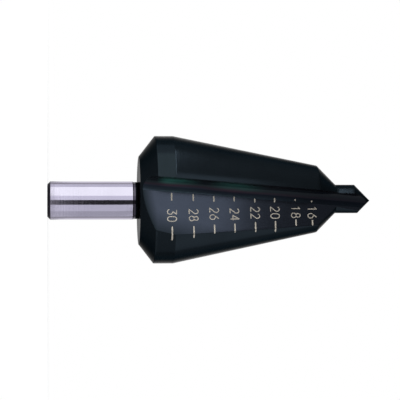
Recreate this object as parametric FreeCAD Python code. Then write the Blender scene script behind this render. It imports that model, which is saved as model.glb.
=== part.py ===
import FreeCAD, Part
import math
import os

os.makedirs("parts", exist_ok=True)

# Sizes are in millimetres and angles in degrees.
# The tool stands on its shank end: its axis is Z, with the shank end at Z = 0 and the point on top.
# The flute faces -Y, and the cutting edge is on its -X side.
# A turn is counted round the axis from the flute's middle, past the cutting edge and over the back.

# Shank and neck
SHANK_RADIUS = 4.5
SHANK_LENGTH = 19.7
SHANK_END_CHAMFER = 0.7
NECK_RADIUS = 4.32
NECK_LENGTH = 1.6

# Lengths along the axis, from the head's back face to the point
REAR_CONE_LENGTH = 3.8
BAND_LENGTH = 4.2
TAPER_LENGTH = 33.9
PILOT_LENGTH = 8.27

# Radii at the cutting edge
LARGE_RADIUS = 15.25
SMALL_RADIUS = 8.55
PILOT_RADIUS = 4.02

# Rear edge, cones and point
BACK_CHAMFER = 0.2
REAR_CONE_ANGLE = 52.4
FRONT_CHAMFER_ANGLE = 45.0
POINT_ANGLE = 90.0

# Spiral relief: the radius that is lost in one full turn behind the cutting edge
RELIEF_LARGE = 0.68
RELIEF_SMALL = 1.45
RELIEF_PILOT = 1.5
SPIRAL_ARCS = 8

# Flute: how far its inner corner lies beside the axis and below the cutting edge's radius
FLUTE_OFFSET_LARGE = 4.82
FLUTE_OFFSET_SMALL = 2.14
FLUTE_DEPTH_LARGE = 6.91
FLUTE_DEPTH_SMALL = 6.43
FLOOR_TILT = 17.7
WALL_LEAN = 3.4
ROOT_RADIUS = 2.4

# Heights along the axis
HEAD_BACK = SHANK_LENGTH + NECK_LENGTH
BAND_START = HEAD_BACK + REAR_CONE_LENGTH
TAPER_START = BAND_START + BAND_LENGTH
TAPER_END = TAPER_START + TAPER_LENGTH
FRONT_CHAMFER_LENGTH = (SMALL_RADIUS - PILOT_RADIUS) / math.tan(math.radians(FRONT_CHAMFER_ANGLE))
PILOT_START = TAPER_END + FRONT_CHAMFER_LENGTH
TIP = PILOT_START + PILOT_LENGTH

# Room by which cutting and trimming shapes reach past the metal
OVERSHOOT = 1.0


def round_the_axis(turn, radius, height):
    """A point at a turn, a radius and a height."""
    angle = math.radians(turn)
    return FreeCAD.Vector(-radius * math.sin(angle), -radius * math.cos(angle), height)


def relieved_radius(edge_radius, relief, turn):
    """Radius of the spiral at a turn. It is the edge's radius where the cutting edge is."""
    edge_turn = math.degrees(math.asin(FLUTE_OFFSET_LARGE / LARGE_RADIUS))
    return edge_radius - relief * (turn - edge_turn) / 360.0


def spiral_section(height, edge_radius, relief):
    """One closed section of the head: a spiral in equal arcs, whose step falls inside the flute."""
    half_arcs = []
    for i in range(2 * SPIRAL_ARCS + 1):
        turn = 180.0 * i / SPIRAL_ARCS
        radius = relieved_radius(edge_radius, relief, turn)
        half_arcs.append(round_the_axis(turn, radius, height))
    edges = []
    for i in range(0, 2 * SPIRAL_ARCS, 2):
        start, middle, end = half_arcs[i:i + 3]
        edges.append(Part.Arc(start, middle, end).toShape())
    edges.append(Part.makeLine(half_arcs[-1], half_arcs[0]))
    return Part.Wire(edges)


def relieved_body():
    """Band, taper, front chamfer and pilot, each ruled between two spiral sections."""
    sections = [
        spiral_section(HEAD_BACK - OVERSHOOT, LARGE_RADIUS, RELIEF_LARGE),
        spiral_section(TAPER_START, LARGE_RADIUS, RELIEF_LARGE),
        spiral_section(TAPER_END, SMALL_RADIUS, RELIEF_SMALL),
        spiral_section(PILOT_START, PILOT_RADIUS, RELIEF_PILOT),
        spiral_section(TIP + OVERSHOOT, PILOT_RADIUS, RELIEF_PILOT),
    ]
    as_solid = True
    ruled = True
    return Part.makeLoft(sections, as_solid, ruled)


def turned(profile):
    """A solid turned round the axis from a profile of (radius, height) points."""
    points = [FreeCAD.Vector(radius, 0, height) for radius, height in profile]
    outline = Part.makePolygon(points + points[:1])
    return Part.Face(outline).revolve(FreeCAD.Vector(0, 0, 0), FreeCAD.Vector(0, 0, 1), 360)


def head_envelope():
    """The turned shape that trims the head: back face, rear cone and drill point."""
    outer = LARGE_RADIUS + OVERSHOOT
    rear_slope = math.tan(math.radians(REAR_CONE_ANGLE))
    back_radius = LARGE_RADIUS - rear_slope * REAR_CONE_LENGTH
    rim_radius = back_radius + rear_slope * BACK_CHAMFER
    point_length = outer / math.tan(math.radians(POINT_ANGLE / 2.0))
    return turned([
        (0.0, HEAD_BACK),
        (rim_radius - BACK_CHAMFER, HEAD_BACK),
        (rim_radius, HEAD_BACK + BACK_CHAMFER),
        (outer, BAND_START + OVERSHOOT / rear_slope),
        (outer, TIP - point_length),
        (0.0, TIP),
    ])


def shank_and_neck():
    """Plain round shank with a chamfered end, and the slightly thinner neck behind the head."""
    shoulder = SHANK_RADIUS - NECK_RADIUS
    rooted = HEAD_BACK + OVERSHOOT
    return turned([
        (0.0, 0.0),
        (SHANK_RADIUS - SHANK_END_CHAMFER, 0.0),
        (SHANK_RADIUS, SHANK_END_CHAMFER),
        (SHANK_RADIUS, SHANK_LENGTH - shoulder),
        (NECK_RADIUS, SHANK_LENGTH),
        (NECK_RADIUS, rooted),
        (0.0, rooted),
    ])


def flute_corner(height):
    """Where the flute's floor and wall would meet, at a height along the axis."""
    share = (height - TAPER_START) / TAPER_LENGTH
    above_axis_large = LARGE_RADIUS - FLUTE_DEPTH_LARGE
    above_axis_small = SMALL_RADIUS - FLUTE_DEPTH_SMALL
    beside = FLUTE_OFFSET_LARGE + share * (FLUTE_OFFSET_SMALL - FLUTE_OFFSET_LARGE)
    above = above_axis_large + share * (above_axis_small - above_axis_large)
    return FreeCAD.Vector(-beside, -above, height)


def square_to(path, vector):
    """The direction of the part of a vector that is square to a path."""
    along = FreeCAD.Vector(path).normalize()
    return (vector - along * vector.dot(along)).normalize()


def flute_cutter():
    """One straight, inclined pass: flat floor, nearly upright wall, rounded inner corner."""
    start = flute_corner(SHANK_LENGTH)
    path = flute_corner(TIP + LARGE_RADIUS) - start
    tilt = math.radians(FLOOR_TILT)
    lean = math.radians(WALL_LEAN)
    along_floor = square_to(path, FreeCAD.Vector(math.cos(tilt), -math.sin(tilt), 0))
    up_wall = square_to(path, FreeCAD.Vector(-math.sin(lean), -math.cos(lean), 0))
    half_opening = math.acos(along_floor.dot(up_wall)) / 2.0
    tangent_length = ROOT_RADIUS / math.tan(half_opening)
    corner_to_arc = ROOT_RADIUS / math.sin(half_opening) - ROOT_RADIUS
    reach = 3.0 * LARGE_RADIUS
    arc_on_floor = start + along_floor * tangent_length
    arc_middle = start + (along_floor + up_wall).normalize() * corner_to_arc
    arc_on_wall = start + up_wall * tangent_length
    floor_end = start + along_floor * reach
    wall_end = start + up_wall * reach
    far_corner = floor_end + up_wall * reach
    outline = Part.Wire([
        Part.makeLine(floor_end, arc_on_floor),
        Part.Arc(arc_on_floor, arc_middle, arc_on_wall).toShape(),
        Part.makeLine(arc_on_wall, wall_end),
        Part.makeLine(wall_end, far_corner),
        Part.makeLine(far_corner, floor_end),
    ])
    return Part.Face(outline).extrude(path)


def cone_drill():
    """Relieved head, trimmed by its turned envelope and fluted, with its shank: one solid."""
    head = relieved_body().common(head_envelope())
    head = head.cut(flute_cutter())
    return head.fuse(shank_and_neck()).removeSplitter().Solids[0]


shape = cone_drill()
shape.exportStep("parts/cone_drill.step")
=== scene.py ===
"""Looks of a sheet metal cone drill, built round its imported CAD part.

The tool stands on its shank end: its axis is Z and its flute faces -Y.
Lengths are in millimetres and angles in degrees. A length times MM is in Blender's metres.
A place on the tool is (along, up, out): along the axis from the shank end, up towards
the cutting edge's side, and out of the flute.
"""

import math

import bmesh
import bpy
from mathutils import Matrix, Vector
from mathutils.bvhtree import BVHTree


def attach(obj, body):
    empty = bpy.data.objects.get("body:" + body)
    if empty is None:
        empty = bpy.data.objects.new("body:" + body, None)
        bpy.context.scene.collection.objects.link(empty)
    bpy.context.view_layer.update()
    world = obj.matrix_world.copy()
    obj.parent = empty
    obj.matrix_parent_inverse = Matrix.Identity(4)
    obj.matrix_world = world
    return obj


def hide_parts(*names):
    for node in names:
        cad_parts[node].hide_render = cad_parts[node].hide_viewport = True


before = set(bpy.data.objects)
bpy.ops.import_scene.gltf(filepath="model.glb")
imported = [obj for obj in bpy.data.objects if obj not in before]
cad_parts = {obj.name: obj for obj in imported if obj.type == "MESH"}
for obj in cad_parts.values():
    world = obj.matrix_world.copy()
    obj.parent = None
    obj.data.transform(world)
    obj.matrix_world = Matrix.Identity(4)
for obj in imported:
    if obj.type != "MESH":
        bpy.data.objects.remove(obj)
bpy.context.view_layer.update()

MM = 0.001
BODY = "root"
CAD_NODE = "cone_drill"

# Shank and neck, with a thin ring between two small steps where they meet
SHANK_RADIUS = 4.5
SHANK_END_CHAMFER = 0.7
SHANK_ROUNDING = 0.04
SHOULDER_START = 19.85
SHOULDER_STEP = 0.12
SHOULDER_END = 20.5
NECK_RADIUS = 4.32

# Heights of the head's corners along the axis
HEAD_BACK = 21.3
BAND_START = 25.1
TAPER_START = 29.3
TAPER_END = 63.2
PILOT_START = 67.73
TIP = 76.0

# Radii at the cutting edge, and the radius lost in one turn behind it
LARGE_RADIUS = 15.25
SMALL_RADIUS = 8.55
PILOT_RADIUS = 4.02
RELIEF_LARGE = 0.68
RELIEF_SMALL = 1.45
RELIEF_PILOT = 1.5

# Rear cone
REAR_CONE_ANGLE = 52.4
REAR_SLOPE = math.tan(math.radians(REAR_CONE_ANGLE))
BACK_RADIUS = LARGE_RADIUS - REAR_SLOPE * (BAND_START - HEAD_BACK)
BACK_CHAMFER = 0.2

# Flute: how far up and out from the axis its inner corner lies, at both ends of the taper
CORNER_LARGE = (4.82, 8.34)
CORNER_SMALL = (2.14, 2.12)
FLOOR_TILT = 17.7
WALL_LEAN = 3.4
ROOT_RADIUS = 2.4
EDGE_TURN = math.degrees(math.asin(CORNER_LARGE[0] / LARGE_RADIUS))

# Mesh of the head: the rings from each corner of its outline to the next, and each corner's rounding
OUTLINE_STEPS = [3, 2, 26, 6, 8, 44, 14, 8, 6, 26]
OUTLINE_ROUNDING = [0.0, 0.08, 0.08, 0.0, 0.12, 0.12, 0.12, 0.2, 0.08, 0.0, 0.0]
ROUNDING_STEPS = 4

# Mesh of a ring: its points over the back and across the flute, and the rounding of its two edges.
# A rounding takes no more than a share of the way to the next point.
BACK_STEPS = 150
FLOOR_STEPS = 14
ROOT_STEPS = 14
WALL_STEPS = 10
EDGE_ROUNDING = 0.07
ROUNDING_SHARE = 0.45
SHANK_SIDES = 128

# Where the rings change their spacing: on the rear cone, as a share of its rise from the back face
# to the band, and on the drill point, as a share of the pilot's radius
REAR_RING = 0.82
POINT_RING = 0.55

# How far the head's back face reaches into the neck, and the radius of the smallest ring
NECK_OVERLAP = 0.2
CENTRE_RADIUS = 0.01

# Search for the flute on a ring: turns that are tried first, the last step, the halvings for an
# edge, and a turn that is surely in the metal
SEAM_TURNS = range(-60, 61, 2)
SEAM_STEP = 0.01
EDGE_HALVINGS = 40
BACK_TURN = 180.0

# Points closer than this are merged, and how strongly large faces lead the shading of an edge
MERGE_DISTANCE = 0.002
FLAT_FACE_WEIGHT = 90


def place(along, up, out):
    """A place on or round the tool, as a vector in the row's frame, in millimetres."""
    return Vector((-up, -out, along))


def mix(a, b, share):
    """What lies at a share of the way from a to b."""
    return a + (b - a) * share


def bezier(a, corner, b, share):
    """A point on the curve from a to b that a corner draws out."""
    return mix(mix(a, corner, share), mix(corner, b, share), share)


def beside(corner, neighbour, size):
    """The point that lies a size away from a corner, towards its neighbour."""
    return corner + (neighbour - corner).normalized() * size


def square_to(path, vector):
    """The direction of the part of a vector that is square to a path's direction."""
    return (vector - path * vector.dot(path)).normalized()


# Shape of the flute

def flute_corner(along):
    """Where the flute's floor and wall would meet, at a height along the axis."""
    share = (along - TAPER_START) / (TAPER_END - TAPER_START)
    up = mix(CORNER_LARGE[0], CORNER_SMALL[0], share)
    out = mix(CORNER_LARGE[1], CORNER_SMALL[1], share)
    return place(along, up, out)


class Flute:
    """The cut's surface: a flat floor, a nearly upright wall and a round root between them.

    A point of it is (across, along). Across is measured round the surface, square to the cut's
    path: it is zero in the middle of the root, less than that on the floor and more on the wall.
    """

    def __init__(self):
        tilt = math.radians(FLOOR_TILT)
        lean = math.radians(WALL_LEAN)
        self.start = flute_corner(0.0)
        self.path = (flute_corner(TIP) - self.start).normalized()
        self.floor = square_to(self.path, Vector((math.cos(tilt), -math.sin(tilt), 0.0)))
        self.wall = square_to(self.path, Vector((-math.sin(lean), -math.cos(lean), 0.0)))
        self.off_floor = square_to(self.floor, self.wall)
        self.off_wall = square_to(self.wall, self.floor)
        opening = math.acos(self.floor.dot(self.wall))
        self.tangent = ROOT_RADIUS / math.tan(opening / 2.0)
        self.root_angle = math.pi - opening
        self.half_root = ROOT_RADIUS * self.root_angle / 2.0
        self.root_centre = self.floor * self.tangent + self.off_floor * ROOT_RADIUS

    def from_root(self, point):
        """A point's offset from the centre of the root's rounding, square to the path."""
        offset = point - self.start
        return offset - self.path * offset.dot(self.path) - self.root_centre

    def in_root(self, point):
        """Whether a point lies towards the corner from the root's centre, where the surface is round."""
        offset = self.from_root(point)
        return offset.dot(self.floor) < 0.0 and offset.dot(self.wall) < 0.0

    def depth(self, point):
        """How far inside the cut a point is. It is negative in the metal."""
        if self.in_root(point):
            return ROOT_RADIUS - self.from_root(point).length
        offset = point - self.start
        return min(offset.dot(self.off_floor), offset.dot(self.off_wall))

    def across(self, point):
        """How far round the surface a point of it lies."""
        offset = point - self.start
        if self.in_root(point):
            root = self.from_root(point)
            angle = math.atan2(-root.dot(self.floor), -root.dot(self.off_floor))
            return ROOT_RADIUS * (angle - self.root_angle / 2.0)
        if offset.dot(self.off_floor) < offset.dot(self.off_wall):
            return self.tangent - self.half_root - offset.dot(self.floor)
        return offset.dot(self.wall) - self.tangent + self.half_root

    def along(self, point):
        """How far along the cut's path a point lies."""
        return (point - self.start).dot(self.path)

    def point(self, across, along):
        """The surface's point at a distance across it and along the path."""
        base = self.start + self.path * along
        if across < -self.half_root:
            return base + self.floor * (self.tangent - self.half_root - across)
        if across > self.half_root:
            return base + self.wall * (self.tangent - self.half_root + across)
        angle = across / ROOT_RADIUS + self.root_angle / 2.0
        down = self.off_floor * math.cos(angle) + self.floor * math.sin(angle)
        return base + self.root_centre - down * ROOT_RADIUS


FLUTE = Flute()


# Shape of the head

def relieved(edge_radius, relief, turn):
    """Radius of a spiral at a turn. It is the edge's radius at the cutting edge."""
    return edge_radius - relief * (turn - EDGE_TURN) / 360.0


def on_rear_cone(radius):
    return Vector((radius, HEAD_BACK + (radius - BACK_RADIUS) / REAR_SLOPE))


def on_drill_point(radius):
    """The drill point is a cone of 90 degrees."""
    return Vector((radius, TIP - radius))


def head_outline(turn):
    """Corners of the head's outline at a turn, as (radius, along), from the neck to the point."""
    rim = BACK_RADIUS + REAR_SLOPE * BACK_CHAMFER
    large = relieved(LARGE_RADIUS, RELIEF_LARGE, turn)
    small = relieved(SMALL_RADIUS, RELIEF_SMALL, turn)
    pilot = relieved(PILOT_RADIUS, RELIEF_PILOT, turn)
    return [
        Vector((NECK_RADIUS - NECK_OVERLAP, HEAD_BACK)),
        Vector((rim - BACK_CHAMFER, HEAD_BACK)),
        Vector((rim, HEAD_BACK + BACK_CHAMFER)),
        on_rear_cone(mix(BACK_RADIUS, LARGE_RADIUS, REAR_RING)),
        on_rear_cone(large),
        Vector((large, TAPER_START)),
        Vector((small, TAPER_END)),
        Vector((pilot, PILOT_START)),
        on_drill_point(pilot),
        on_drill_point(POINT_RING * PILOT_RADIUS),
        on_drill_point(CENTRE_RADIUS),
    ]


def outline_point(turn, ring):
    """The head's outer surface at a turn, on a ring: (corner, share of the way, is rounding)."""
    corners = head_outline(turn)
    i, share, is_rounding = ring
    if is_rounding:
        before = beside(corners[i], corners[i - 1], OUTLINE_ROUNDING[i])
        after = beside(corners[i], corners[i + 1], OUTLINE_ROUNDING[i])
        radius, along = bezier(before, corners[i], after, share)
    else:
        start = beside(corners[i], corners[i + 1], OUTLINE_ROUNDING[i])
        end = beside(corners[i + 1], corners[i], OUTLINE_ROUNDING[i + 1])
        radius, along = mix(start, end, share)
    angle = math.radians(turn)
    return place(along, radius * math.sin(angle), radius * math.cos(angle))


def outline_rings():
    """Every ring of the head, from the neck to the point."""
    rings = [(0, 0.0, False)]
    for i, steps in enumerate(OUTLINE_STEPS):
        rings += [(i, (k + 1) / steps, False) for k in range(steps)]
        if OUTLINE_ROUNDING[i + 1] > 0.0:
            rings += [(i + 1, (k + 1) / ROUNDING_STEPS, True) for k in range(ROUNDING_STEPS)]
    return rings


def deepest_turn(ring):
    """The turn where a ring is deepest in the cut, or nearest to it."""
    def depth(turn):
        return FLUTE.depth(outline_point(turn, ring))
    best = max(SEAM_TURNS, key=depth)
    step = SEAM_TURNS.step / 2.0
    while step > SEAM_STEP:
        best = max((best - step, best, best + step), key=depth)
        step /= 2.0
    return best


def crossing_turn(ring, cut_turn):
    """The turn between one in the cut and the back where a ring leaves the cut."""
    metal_turn = BACK_TURN
    for _ in range(EDGE_HALVINGS):
        middle = (cut_turn + metal_turn) / 2.0
        if FLUTE.depth(outline_point(middle, ring)) > 0.0:
            cut_turn = middle
        else:
            metal_turn = middle
    return (cut_turn + metal_turn) / 2.0


def flute_points(heel, edge):
    """Points over the floor, the root and the wall, between a ring's heel and cutting edge."""
    low, high = FLUTE.across(heel), FLUTE.across(edge)
    first, last = FLUTE.along(heel), FLUTE.along(edge)
    bends = [low, -FLUTE.half_root, FLUTE.half_root, high]
    points = []
    for i, steps in enumerate((FLOOR_STEPS, ROOT_STEPS, WALL_STEPS)):
        for k in range(1, steps + 1):
            across = min(max(mix(bends[i], bends[i + 1], k / steps), low), high)
            share = (across - low) / (high - low)
            points.append(FLUTE.point(across, mix(first, last, share)))
    return points[:-1]


def round_corner(before, corner, after, size):
    """Points round a sharp corner, in its place."""
    start = beside(corner, before, min(size, ROUNDING_SHARE * (before - corner).length))
    end = beside(corner, after, min(size, ROUNDING_SHARE * (after - corner).length))
    return [bezier(start, corner, end, k / ROUNDING_STEPS) for k in range(ROUNDING_STEPS + 1)]


def ring_points(ring):
    """One closed ring: over the back from the cutting edge to the heel, then through the flute."""
    first = deepest_turn(ring)
    last = first + 360.0
    is_cut = FLUTE.depth(outline_point(first, ring)) > 0.0
    if is_cut:
        first, last = crossing_turn(ring, first), crossing_turn(ring, last)
    turns = [mix(first, last, k / BACK_STEPS) for k in range(BACK_STEPS + 1)]
    back = [outline_point(turn, ring) for turn in turns]
    if is_cut:
        flute = flute_points(back[-1], back[0])
    else:
        flute = [back[-1]] * (FLOOR_STEPS + ROOT_STEPS + WALL_STEPS - 1)
    heel = round_corner(back[-2], back[-1], flute[0], EDGE_ROUNDING)
    edge = round_corner(flute[-1], back[0], back[1], EDGE_ROUNDING)
    return back[1:-1] + heel + flute + edge


def head_material(column):
    """Which material a column of the rings has: 0 on the land, 1 on the floor, 2 in the root."""
    heel = BACK_STEPS - 1 + ROUNDING_STEPS // 2
    root = heel + ROUNDING_STEPS // 2 + FLOOR_STEPS
    edge = heel + FLOOR_STEPS + ROOT_STEPS + WALL_STEPS - 1 + ROUNDING_STEPS
    if column < heel or column >= edge:
        return 0
    return 1 if column < root else 2


# Meshes

def new_object(name, data):
    """An object of the scene that shows a mesh, a lamp or a camera."""
    obj = bpy.data.objects.new(name, data)
    bpy.context.scene.collection.objects.link(obj)
    return obj


def mesh_object(name, bm, materials):
    """An object from a bmesh in millimetres."""
    bmesh.ops.scale(bm, vec=Vector((MM, MM, MM)), verts=bm.verts)
    data = bpy.data.meshes.new(name)
    bm.to_mesh(data)
    bm.free()
    for material in materials:
        data.materials.append(material)
    return new_object(name, data)


def smooth_object(name, bm, materials):
    """A smoothly shaded object. Wide faces lead its normals, so that flats stay flat."""
    bmesh.ops.remove_doubles(bm, verts=bm.verts, dist=MERGE_DISTANCE)
    bmesh.ops.recalc_face_normals(bm, faces=bm.faces)
    for face in bm.faces:
        face.smooth = True
    obj = mesh_object(name, bm, materials)
    weighted = obj.modifiers.new("flat faces lead", "WEIGHTED_NORMAL")
    weighted.weight = FLAT_FACE_WEIGHT
    return obj


def ring_mesh(rings, material_at):
    """A closed bmesh through rings of points. A face's material depends on its row and column."""
    bm = bmesh.new()
    rows = [[bm.verts.new(point) for point in ring] for ring in rings]
    for i, (lower, upper) in enumerate(zip(rows, rows[1:])):
        for j in range(len(lower)):
            following = (j + 1) % len(lower)
            face = bm.faces.new((lower[j], upper[j], upper[following], lower[following]))
            face.material_index = material_at(i, j)
    bm.faces.new(rows[0])
    bm.faces.new(rows[-1])
    return bm


def make_head(materials):
    """The relieved cone head with its flute."""
    rings = [ring_points(ring) for ring in outline_rings()]
    bm = ring_mesh(rings, lambda row, column: head_material(column))
    return smooth_object("head", bm, materials)


def circle(radius, along):
    """Points round the axis."""
    angles = [math.tau * k / SHANK_SIDES for k in range(SHANK_SIDES)]
    return [place(along, radius * math.sin(angle), radius * math.cos(angle)) for angle in angles]


def shank_profile():
    """The shank's outline, as (radius, along), with its corners rounded."""
    corners = [
        Vector((CENTRE_RADIUS, 0.0)),
        Vector((SHANK_RADIUS - SHANK_END_CHAMFER, 0.0)),
        Vector((SHANK_RADIUS, SHANK_END_CHAMFER)),
        Vector((SHANK_RADIUS, SHOULDER_START)),
        Vector((SHANK_RADIUS - SHOULDER_STEP, SHOULDER_START + SHOULDER_STEP)),
        Vector((SHANK_RADIUS - SHOULDER_STEP, SHOULDER_END)),
        Vector((NECK_RADIUS, SHOULDER_END + SHOULDER_STEP)),
        Vector((NECK_RADIUS, HEAD_BACK)),
    ]
    points = corners[:1]
    for before, corner, after in zip(corners, corners[1:], corners[2:]):
        points += round_corner(before, corner, after, SHANK_ROUNDING)
    return points + corners[-1:]


def shank_material(along):
    """Which material the shank has: 0 where it is ground, 1 on its turned ends, whose near-black steel
    is painted shade, 2 on the neck.
    """
    if along > SHOULDER_END:
        return 2
    return 1 if along < SHANK_END_CHAMFER or along > SHOULDER_START else 0


def make_shank(materials):
    """Ground shank with its chamfered end, its shoulder, and the coated neck."""
    profile = shank_profile()
    middles = [(lower.y + upper.y) / 2.0 for lower, upper in zip(profile, profile[1:])]
    rings = [circle(radius, along) for radius, along in profile]
    bm = ring_mesh(rings, lambda row, column: shank_material(middles[row]))
    return smooth_object("shank", bm, materials)


# Marks of the scale: the number, how far along the tool it is, and how far up from the axis are the
# ends of its upper tick, the number's middle and the ends of its lower tick
MARKS = [
    ("30", 28.45, (1.73, -0.06), -3.42, (-5.9, -9.09)),
    ("28", 33.5, (1.5, -0.11), -3.34, (-5.83, -8.56)),
    ("26", 38.34, (1.04, -0.34), -3.04, (-5.51, -7.56)),
    ("24", 43.14, (0.93, -0.23), -3.22, (-5.3, -7.36)),
    ("22", 48.04, (0.47, -0.46), -2.87, (-4.97, -7.27)),
    ("20", 52.8, (0.59, -0.46), -2.82, (-4.76, -7.25)),
    ("18", 57.76, (0.31, -0.11), -2.68, (-4.38, -5.86)),
    ("16", 61.75, (0.0, -0.42), -2.78, (-4.51, -5.83)),
]
NUMBER_HEIGHT = 2.1
DIGIT_WIDTH = 1.16
DIGIT_GAP = 0.4

# Strokes: their widths, how far they lie above the surface, the step by which they follow it, and
# the share of their width at their ends. A bend widens a stroke by a limited factor. The points of
# an arc are about ARC_STEP degrees apart.
TICK_WIDTH = 0.32
STROKE_WIDTH = 0.2
MARK_LIFT = 0.012
STROKE_STEP = 0.2
END_NARROWING = 0.55
BEND_WIDENING = 1.6
ARC_STEP = 18


def arc(x, y, radius_x, radius_y, first, last):
    """Points along an ellipse from a first to a last angle."""
    steps = int(abs(last - first) / ARC_STEP)
    angles = [math.radians(mix(first, last, k / steps)) for k in range(steps + 1)]
    return [(x + radius_x * math.cos(a), y + radius_y * math.sin(a)) for a in angles]


# Strokes of each digit in a box one wide and one high
DIGITS = {
    "0": [arc(0.5, 0.66, 0.46, 0.34, 0, 180) + arc(0.5, 0.34, 0.46, 0.34, 180, 360) + [(0.96, 0.66)]],
    "1": [[(0.12, 0.78), (0.5, 1.0), (0.5, 0.0)]],
    "2": [arc(0.48, 0.72, 0.44, 0.28, 165, -30) + [(0.04, 0.0), (0.98, 0.0)]],
    "3": [[(0.08, 1.0), (0.92, 1.0), (0.42, 0.6)] + arc(0.46, 0.3, 0.48, 0.3, 80, -165)],
    "4": [[(0.72, 0.0), (0.72, 1.0), (0.02, 0.3), (1.0, 0.3)]],
    "6": [[(0.82, 1.0), (0.3, 0.62)] + arc(0.5, 0.31, 0.46, 0.31, 150, 510)],
    "8": [arc(0.5, 0.76, 0.36, 0.24, 0, 360), arc(0.5, 0.27, 0.46, 0.27, 0, 360)],
}


def surface_finder(obj):
    """A function that gives the place and the normal of the surface seen from out of the flute."""
    bm = bmesh.new()
    bm.from_mesh(obj.data)
    tree = BVHTree.FromBMesh(bm)
    bm.free()
    inwards = place(0.0, 0.0, -1.0)

    def find(along, up):
        start = place(along, up, 2.0 * LARGE_RADIUS) * MM
        location, normal, _, _ = tree.ray_cast(start, inwards)
        return location / MM, normal
    return find


def fine_line(points, step):
    """The same line with points no further apart than a step."""
    line = [Vector(points[0])]
    for end in points[1:]:
        start, end = line[-1].copy(), Vector(end)
        pieces = max(1, math.ceil((end - start).length / step))
        line += [mix(start, end, (k + 1) / pieces) for k in range(pieces)]
    return line


def side_of(line, i):
    """The direction square to a line at its point i, long enough to keep the stroke's width."""
    before = (line[i] - line[max(i - 1, 0)]).normalized()
    after = (line[min(i + 1, len(line) - 1)] - line[i]).normalized()
    if i == 0:
        before = after
    if i == len(line) - 1:
        after = before
    tangent = (before + after).normalized()
    widening = 1.0 / max(1.0 / BEND_WIDENING, tangent.dot(after))
    return Vector((-tangent.y, tangent.x)) * widening


def add_stroke(bm, line, width, find):
    """A flat stroke that lies on the surface along a line of (along, up) points."""
    line = fine_line(line, STROKE_STEP)
    rows = []
    for i, middle in enumerate(line):
        narrowing = END_NARROWING if i in (0, len(line) - 1) else 1.0
        side = side_of(line, i) * width / 2.0 * narrowing
        row = []
        for along, up in (middle - side, middle, middle + side):
            location, normal = find(along, up)
            row.append(bm.verts.new(location + normal * MARK_LIFT))
        rows.append(row)
    for lower, upper in zip(rows, rows[1:]):
        for j in range(len(lower) - 1):
            bm.faces.new((lower[j], lower[j + 1], upper[j + 1], upper[j]))


def number_strokes(text, along, up):
    """Strokes of a number that reads down the flute's width, with its tops towards the point."""
    width = len(text) * DIGIT_WIDTH + (len(text) - 1) * DIGIT_GAP
    strokes = []
    for k, digit in enumerate(text):
        left = up + width / 2.0 - k * (DIGIT_WIDTH + DIGIT_GAP)
        for line in DIGITS[digit]:
            stroke = [(along + (y - 0.5) * NUMBER_HEIGHT, left - x * DIGIT_WIDTH) for x, y in line]
            strokes.append(stroke)
    return strokes


def strokes_object(name, strokes, width, find, material):
    """One object with all strokes of a kind."""
    bm = bmesh.new()
    for stroke in strokes:
        add_stroke(bm, stroke, width, find)
    return mesh_object(name, bm, [material])


def make_marks(head, material):
    """The scale in the flute: a tick, a number and a tick at each mark."""
    find = surface_finder(head)
    ticks, numbers = [], []
    for text, along, upper_tick, number_up, lower_tick in MARKS:
        for tick in (upper_tick, lower_tick):
            ticks.append([(along, up) for up in tick])
        numbers += number_strokes(text, along, number_up)
    return [
        strokes_object("scale_ticks", ticks, TICK_WIDTH, find, material),
        strokes_object("scale_numbers", numbers, STROKE_WIDTH, find, material),
    ]


# Materials

# Scales of noises are per metre of the tool. Most of a noise lies between these two values.
NOISE_LOW = 0.3
NOISE_HIGH = 0.7

# What a coated surface mirrors at a grazing angle, as a share of what plain metal would mirror
RIM_TINT = (0.43, 0.425, 0.42, 1.0)

# How far into the flute's floor a painted shade reaches from the rear cone, square to the axis, and the
# colour of that painted shade
EXIT_SHADE_REACH = 3.8
EXIT_SHADE_COLOUR = (0.009, 0.013, 0.016, 1.0)

# The root's streaks: how far up from the flute's inner corner they start and end, and how far they
# waver, as a share of the way between
STREAKS_UP = (-2.94, 0.42)
STREAKS_WAVER = 0.14

# The root's teal tint comes in waves along the flute: partly the coating's own colour, partly a painted
# reflection
TEAL_LENGTH = 16.4
TEAL_PHASE = 5.94

# Heights along the axis between which the tint fades in and out, and a painted shade darkens the root
# towards the point
TEAL_START = (25.0, 27.2)
TEAL_END = (37.0, 54.0)
ROOT_SHADE_START = (50.0, 64.0)
ROOT_SHADE_SHARE = 0.75

# Colours of the streaks, partly the coating's tints and partly painted highlight bands across the root,
# each at a share of the way up
PLAIN_STREAKS_AND_HIGHLIGHTS = [
    (0.05, (0.02, 0.03, 0.042)),
    (0.28, (0.009, 0.013, 0.022)),
    (0.42, (0.016, 0.011, 0.018)),
    (0.58, (0.009, 0.014, 0.018)),
    (0.8, (0.013, 0.017, 0.022)),
    (0.97, (0.01, 0.008, 0.011)),
]
TEAL_STREAKS_AND_HIGHLIGHTS = [
    (0.05, (0.02, 0.034, 0.044)),
    (0.28, (0.014, 0.02, 0.032)),
    (0.42, (0.027, 0.014, 0.024)),
    (0.56, (0.02, 0.05, 0.048)),
    (0.76, (0.034, 0.13, 0.112)),
    (0.97, (0.014, 0.012, 0.016)),
]
ROOT_SHADE_COLOUR = (0.002, 0.003, 0.006, 1.0)

# A wave texture of scale one turns its waves by this many radians in a metre
WAVE_RADIANS = 20.0


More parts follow.
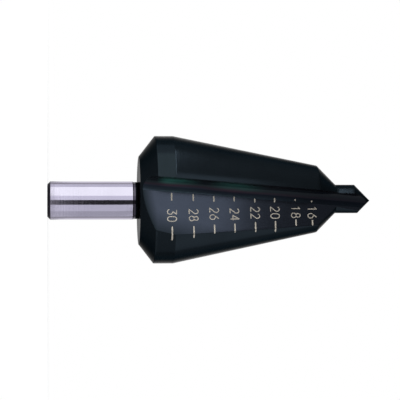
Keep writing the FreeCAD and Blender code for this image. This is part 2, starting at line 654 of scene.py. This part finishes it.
class Nodes:
    """Builds a node tree."""

    def __init__(self, tree):
        self.tree = tree

    def add(self, kind, inputs=None, **settings):
        """A new node. Its inputs are values or other nodes' outputs."""
        node = self.tree.nodes.new(kind)
        for name, setting in settings.items():
            setattr(node, name, setting)
        for name, value in (inputs or {}).items():
            self.put(node.inputs[name], value)
        return node

    def value(self, kind, output, inputs=None, **settings):
        """One output of a new node."""
        return self.add(kind, inputs, **settings).outputs[output]

    def put(self, socket, value):
        """Gives an input its value, or links another node's output to it."""
        if isinstance(value, bpy.types.NodeSocket):
            self.tree.links.new(value, socket)
        else:
            socket.default_value = value

    def ramp(self, value, low, high, out_low=0.0, out_high=1.0, shape="LINEAR"):
        """A value that goes from out_low to out_high while another goes from low to high."""
        inputs = {
            "Value": value, "From Min": low, "From Max": high,
            "To Min": out_low, "To Max": out_high,
        }
        return self.value("ShaderNodeMapRange", "Result", inputs, interpolation_type=shape)

    def smooth_ramp(self, value, low, high, out_low=0.0, out_high=1.0):
        return self.ramp(value, low, high, out_low, out_high, "SMOOTHSTEP")

    def maths(self, operation, a, b):
        return self.value("ShaderNodeMath", "Value", {0: a, 1: b}, operation=operation)

    def mix(self, share, a, b, kind="FLOAT"):
        """What lies at a share of the way from a to b. The kind of a colour is RGBA."""
        inputs = {"Factor": share, "A": a, "B": b}
        return self.value("ShaderNodeMix", "Result", inputs, data_type=kind)

    def length(self, vector):
        return self.value("ShaderNodeVectorMath", "Value", {0: vector}, operation="LENGTH")

    def split(self, vector):
        """A vector's X, Y and Z."""
        return self.add("ShaderNodeSeparateXYZ", {"Vector": vector}).outputs


class Surface(Nodes):
    """Builds one material's nodes."""

    def __init__(self, name):
        self.material = bpy.data.materials.new(name)
        self.material.use_nodes = True
        super().__init__(self.material.node_tree)
        self.shader = self.tree.nodes["Principled BSDF"]
        self.place = self.value("ShaderNodeTexCoord", "Object")

    def set(self, values):
        """Gives the shader's inputs their values or other nodes' outputs."""
        for name, value in values.items():
            self.put(self.shader.inputs[name], value)

    def bump(self, height, distance, strength):
        inputs = {"Height": height, "Distance": distance * MM, "Strength": strength}
        self.set({"Normal": self.value("ShaderNodeBump", "Normal", inputs)})

    def stretched(self, scale, vector=None):
        """The place on the tool, or another vector, scaled differently along each axis."""
        inputs = {"Vector": vector or self.place, "Scale": scale}
        return self.value("ShaderNodeMapping", "Vector", inputs)

    def turned_into_flute(self):
        """The place on the tool, turned so that its last axis runs along the flute."""
        turn = FLUTE.path.rotation_difference(place(1.0, 0.0, 0.0)).to_euler()
        inputs = {"Vector": self.place, "Rotation": turn}
        return self.value("ShaderNodeMapping", "Vector", inputs)

    def noise(self, vector, scale, detail=3.0, roughness=0.5):
        inputs = {"Vector": vector, "Scale": scale, "Detail": detail, "Roughness": roughness}
        return self.value("ShaderNodeTexNoise", "Fac", inputs)

    def vary(self, noise, low, high):
        """A value that a noise moves between low and high."""
        return self.ramp(noise, NOISE_LOW, NOISE_HIGH, low, high)

    def tint(self, noise, dark, light):
        """A colour that a noise moves between a dark and a light one."""
        return self.colours(noise, [(NOISE_LOW, dark), (NOISE_HIGH, light)])

    def colours(self, value, stops):
        """A colour that follows a value through stops of (value, colour)."""
        node = self.add("ShaderNodeValToRGB", {"Fac": value})
        elements = node.color_ramp.elements
        while len(elements) < len(stops):
            elements.new(0.5)
        for element, (position, colour) in zip(elements, stops):
            element.position = position
            element.color = (*colour, 1.0)
        return node.outputs["Color"]


def steel(name, dark, light):
    """Round-ground or turned steel: fine lines round the shank, with a faint lilac tint."""
    nodes = Surface(name)
    lines = nodes.noise(nodes.stretched((6.0, 6.0, 900.0)), scale=12.0, detail=4.0, roughness=0.6)
    clouds = nodes.noise(nodes.place, scale=180.0, detail=2.0)
    nodes.set({
        "Base Color": nodes.tint(clouds, dark, light),
        "Metallic": 1.0,
        "Roughness": nodes.vary(lines, 0.05, 0.09),
    })
    nodes.bump(lines, distance=0.01, strength=0.25)
    return nodes.material


def coated(name, lines, roughness):
    """A coated surface with dim rims, where the grinding lines under the coating still show."""
    nodes = Surface(name)
    grinding = nodes.noise(nodes.stretched(lines), scale=10.0, detail=4.0, roughness=0.62)
    nodes.set({"Specular Tint": RIM_TINT, "Roughness": nodes.vary(grinding, *roughness)})
    nodes.bump(grinding, distance=0.004, strength=0.15)
    return nodes


def clouded(nodes, dark, light):
    """A coating's colour, in soft clouds."""
    return nodes.tint(nodes.noise(nodes.place, scale=120.0), dark, light)


def land_coating():
    """Satin near-black coating on the lands and the neck."""
    nodes = coated("coated_land", lines=(8.0, 8.0, 500.0), roughness=(0.15, 0.21))
    nodes.set({
        "Base Color": clouded(nodes, dark=(0.013, 0.018, 0.0228), light=(0.0147, 0.0206, 0.026)),
        "Metallic": 0.88,
        "Specular IOR Level": 0.0,
    })
    return nodes.material


def inside_rear_cone(nodes):
    """How far inside the rear cone a place lies: 0 on its surface, and 1 from EXIT_SHADE_REACH inwards."""
    parts = nodes.split(nodes.place)
    inputs = {"X": parts["X"], "Y": parts["Y"]}
    radius = nodes.length(nodes.value("ShaderNodeCombineXYZ", "Vector", inputs))
    heights = (HEAD_BACK * MM, BAND_START * MM)
    cone = nodes.ramp(parts["Z"], *heights, BACK_RADIUS * MM, LARGE_RADIUS * MM)
    return nodes.ramp(nodes.maths("SUBTRACT", cone, radius), 0.0, EXIT_SHADE_REACH * MM)


def floor_coating():
    """The lighter, along-ground coating of the flute's floor, with a painted shade where it runs out
    behind.
    """
    nodes = coated("coated_floor", lines=(500.0, 500.0, 12.0), roughness=(0.13, 0.19))
    colour = clouded(nodes, dark=(0.034, 0.041, 0.057), light=(0.04, 0.048, 0.066))
    # Painted shade: the floor's colour goes dark towards the rear cone, where less light reaches it
    floor_with_shade = nodes.mix(inside_rear_cone(nodes), EXIT_SHADE_COLOUR, colour, "RGBA")
    nodes.set({"Base Color": floor_with_shade, "Metallic": 1.0})
    return nodes.material


def height_in_root(nodes, drift):
    """How far up the root's streaks a place is, from 0 to 1. A noise makes it waver."""
    up = square_to(FLUTE.path, place(0.0, 1.0, 0.0))
    low, high = [(FLUTE.start.dot(up) + end) * MM for end in STREAKS_UP]
    inputs = {0: nodes.place, 1: up}
    height = nodes.value("ShaderNodeVectorMath", "Value", inputs, operation="DOT_PRODUCT")
    waver = nodes.vary(drift, -STREAKS_WAVER, STREAKS_WAVER)
    return nodes.maths("ADD", nodes.ramp(height, low, high), waver)


def teal_share(nodes, flute_place, along):
    """How teal a place in the root is: waves along the flute that fade in and out."""
    scale = math.tau / (WAVE_RADIANS * TEAL_LENGTH * MM)
    inputs = {"Vector": flute_place, "Scale": scale, "Phase Offset": TEAL_PHASE}
    waves = nodes.value("ShaderNodeTexWave", "Fac", inputs, bands_direction="Z")
    fade_in = nodes.ramp(along, *[end * MM for end in TEAL_START])
    fade_out = nodes.ramp(along, *[end * MM for end in TEAL_END], 1.0, 0.0)
    return nodes.maths("MULTIPLY", waves, nodes.maths("MULTIPLY", fade_in, fade_out))


def root_coating():
    """The coating in the flute's root: streaks along it, with teal and red-brown tints, partly painted
    highlight bands, and painted shade towards the point.
    """
    nodes = Surface("coated_root")
    flute_place = nodes.turned_into_flute()
    stretched = nodes.stretched((250.0, 250.0, 40.0), flute_place)
    drift = nodes.noise(stretched, scale=1.0, roughness=0.6)
    height = height_in_root(nodes, drift)
    # Partly painted highlight: the colour bands across the root stand for light on its curve as well as
    # for its streaks
    plain = nodes.colours(height, PLAIN_STREAKS_AND_HIGHLIGHTS)
    teal = nodes.colours(height, TEAL_STREAKS_AND_HIGHLIGHTS)
    along = nodes.split(nodes.place)["Z"]
    streaks = nodes.mix(teal_share(nodes, flute_place, along), plain, teal, "RGBA")
    # Painted shade: the root's colour goes dark towards the point
    dark = nodes.ramp(along, *[end * MM for end in ROOT_SHADE_START], 0.0, ROOT_SHADE_SHARE)
    nodes.set({
        "Base Color": nodes.mix(dark, streaks, ROOT_SHADE_COLOUR, "RGBA"),
        "Metallic": 0.4,
        "Specular IOR Level": 0.2,
        "Specular Tint": RIM_TINT,
        "Roughness": nodes.vary(drift, 0.16, 0.24),
    })
    nodes.bump(drift, distance=0.006, strength=0.2)
    return nodes.material


def marked_metal():
    """Bare metal where the scale is marked through the coating: pale and matt."""
    nodes = Surface("marked_metal")
    grains = nodes.noise(nodes.place, scale=2600.0, roughness=0.6)
    nodes.set({
        "Base Color": nodes.tint(grains, (0.42, 0.38, 0.32), (0.72, 0.66, 0.57)),
        "Metallic": 0.35,
        "Roughness": nodes.vary(grains, 0.5, 0.75),
    })
    nodes.bump(grains, distance=0.01, strength=0.4)
    return nodes.material


# The camera looks into the flute from just above the shank end's height, towards the tool's middle.
# The tool's point is to its right.
CAMERA_PLACE = (2.0, 0.12, 422.0)
CAMERA_TARGET = (35.76, 0.12, 0.0)
CAMERA_RANGE = (10.0, 20000.0)
LENS = 162.1
SENSOR = 36.0

# Watts per square metre of lamp that give it a radiance of one
LAMP_POWER = 4.0
COOL = (0.95, 0.97, 1.0)
NEUTRAL = (0.96, 1.0, 0.94)

# Lamps that face the axis: the name, both ends along the tool, both edges as angles round the axis
# from the camera's side towards the cutting edge's side, the distance, the radiance and the colour
PANELS = [
    ("upper_softbox", (-40.0, 46.0), (28.0, 88.0), 120.0, 1.4, NEUTRAL),
    ("upper_back_fill", (-60.0, 46.0), (88.0, 113.0), 150.0, 0.75, COOL),
    ("upper_edge_glow", (-40.0, 46.0), (3.0, 28.0), 125.0, 0.9, COOL),
    ("pilot_softbox", (80.0, 104.0), (48.0, 100.0), 250.0, 6.0, COOL),
    ("shank_lower_fill", (-60.0, 27.0), (-66.0, -25.0), 150.0, 0.7, COOL),
    ("shank_low_fill", (-60.0, 27.0), (-112.0, -66.0), 150.0, 0.5, COOL),
    ("head_lower_fill", (27.0, 62.0), (-105.0, -22.0), 150.0, 0.35, COOL),
    ("taper_lower_fill", (64.0, 200.0), (-105.0, -22.0), 150.0, 0.55, COOL),
]

# The lamp that lights the flute
FLUTE_LAMP_PLACE = (86.0, 83.0, 121.0)
FLUTE_LAMP_TARGET = (36.0, -2.0, 8.6)
FLUTE_LAMP_SIZE = (56.0, 80.0)
FLUTE_LAMP_RADIANCE = 1.0

# What the tool mirrors, by the height and the depth of the mirrored direction: a wall that grows
# lighter upwards, a ceiling above it, and a white backdrop behind the tool
WALL_HEIGHTS = (0.02, 0.35)
WALL_STRENGTHS = (0.03, 0.45)
CEILING_HEIGHTS = (0.4, 0.54)
CEILING_STRENGTH = 0.12
BACKDROP_DEPTHS = (0.2, 0.85)

# How strongly the world lights matt surfaces, from all round
DIFFUSE_STRENGTH = 0.5
WHITE = (1.0, 1.0, 1.0, 1.0)

# The floor's glow for the camera, at the tool, where its shadow falls, and from a distance on
GLOW_NEAR = 0.57
GLOW_FAR = 0.69
GLOW_REACH = 280.0

# The floor's glow in what the tool mirrors, which begins behind it
MIRRORED_GLOW = 0.11
MIRRORED_DEPTHS = (20.0, 80.0)
FLOOR_HALF_SIDE = 3000.0
FLOOR_COLOUR = (0.6, 0.6, 0.6, 1.0)


def facing(spot, target):
    """The matrix of a camera or a lamp at a spot that faces a target, its right along the tool."""
    back = (spot - target).normalized()
    right = square_to(back, place(1.0, 0.0, 0.0))
    turn = Matrix((right, back.cross(right), back)).transposed().to_4x4()
    return Matrix.Translation(spot * MM) @ turn


def make_camera():
    data = bpy.data.cameras.new("camera")
    data.lens = LENS
    data.sensor_width = SENSOR
    data.clip_start, data.clip_end = [distance * MM for distance in CAMERA_RANGE]
    camera = new_object("camera", data)
    camera.matrix_world = facing(place(*CAMERA_PLACE), place(*CAMERA_TARGET))
    bpy.context.scene.camera = camera


def make_lamp(name, spot, target, size, radiance, colour):
    """A rectangular lamp that faces a target. The first of its two sizes is along the tool."""
    data = bpy.data.lights.new(name, "AREA")
    data.shape = "RECTANGLE"
    data.size, data.size_y = [side * MM for side in size]
    data.energy = radiance * LAMP_POWER * data.size * data.size_y
    data.color = colour
    lamp = new_object(name, data)
    lamp.matrix_world = facing(spot, target)
    lamp.visible_camera = False


def make_lamps():
    for name, ends, edges, distance, radiance, colour in PANELS:
        middle = math.radians(sum(edges) / 2.0)
        half = math.radians(edges[1] - edges[0]) / 2.0
        target = place(sum(ends) / 2.0, 0.0, 0.0)
        spot = target + place(0.0, math.sin(middle), math.cos(middle)) * distance
        size = (ends[1] - ends[0], 2.0 * distance * math.tan(half))
        make_lamp(name, spot, target, size, radiance, colour)
    spot, target = place(*FLUTE_LAMP_PLACE), place(*FLUTE_LAMP_TARGET)
    make_lamp("flute_softbox", spot, target, FLUTE_LAMP_SIZE, FLUTE_LAMP_RADIANCE, COOL)


def make_world():
    """White all round for the camera. What the tool mirrors is white behind it and dim in front."""
    world = bpy.data.worlds.new("studio")
    bpy.context.scene.world = world
    world.use_nodes = True
    nodes = Nodes(world.node_tree)
    direction = nodes.split(nodes.value("ShaderNodeTexCoord", "Generated"))
    rays = nodes.add("ShaderNodeLightPath").outputs
    wall = nodes.smooth_ramp(direction["Z"], *WALL_HEIGHTS, *WALL_STRENGTHS)
    ceiling = nodes.smooth_ramp(direction["Z"], *CEILING_HEIGHTS)
    room = nodes.mix(ceiling, wall, CEILING_STRENGTH)
    behind = nodes.smooth_ramp(direction["Y"], *BACKDROP_DEPTHS)
    mirrored = nodes.mix(behind, room, 1.0)
    lit = nodes.mix(rays["Is Diffuse Ray"], mirrored, DIFFUSE_STRENGTH)
    seen = nodes.mix(rays["Is Camera Ray"], lit, 1.0)
    background = world.node_tree.nodes["Background"]
    nodes.put(background.inputs["Strength"], seen)
    nodes.put(background.inputs["Color"], WHITE)


def floor_white():
    """Pale and matt. Its glow makes it nearly white for the camera, and less so near the tool."""
    nodes = Surface("floor_white")
    seen = nodes.smooth_ramp(nodes.length(nodes.place), 0.0, GLOW_REACH * MM, GLOW_NEAR, GLOW_FAR)
    depths = [depth * MM for depth in MIRRORED_DEPTHS]
    mirrored = nodes.smooth_ramp(nodes.split(nodes.place)["Y"], *depths, 0.0, MIRRORED_GLOW)
    rays = nodes.add("ShaderNodeLightPath").outputs
    unseen = nodes.mix(rays["Is Glossy Ray"], 0.0, mirrored)
    nodes.set({
        "Base Color": FLOOR_COLOUR,
        "Roughness": 0.9,
        "Specular IOR Level": 0.0,
        "Emission Color": WHITE,
        "Emission Strength": nodes.mix(rays["Is Camera Ray"], unseen, seen),
    })
    return nodes.material


def make_floor():
    """A plain pale floor under the shank end. It is nearly white and keeps the tool's shadow."""
    bm = bmesh.new()
    bmesh.ops.create_grid(bm, x_segments=1, y_segments=1, size=FLOOR_HALF_SIDE)
    floor = mesh_object("floor", bm, [floor_white()])
    floor.visible_shadow = False


def main():
    land = land_coating()
    head = make_head([land, floor_coating(), root_coating()])
    ground = steel("ground_steel", dark=(0.45, 0.42, 0.53), light=(0.49, 0.458, 0.575))
    # Painted shade: the turned ends' steel is near black, standing for the dark they mirror from the
    # floor round the shank end
    shaded_ends_steel = steel("turned_steel_painted_shade", dark=(0.05, 0.045, 0.065), light=(0.075, 0.068, 0.09))
    shank = make_shank([ground, shaded_ends_steel, land])
    for piece in (head, shank):
        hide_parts(CAD_NODE)
    for piece in [head, shank] + make_marks(head, marked_metal()):
        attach(piece, BODY)
    make_camera()
    make_lamps()
    make_world()
    make_floor()
    bpy.context.scene.view_settings.view_transform = "Standard"


main()
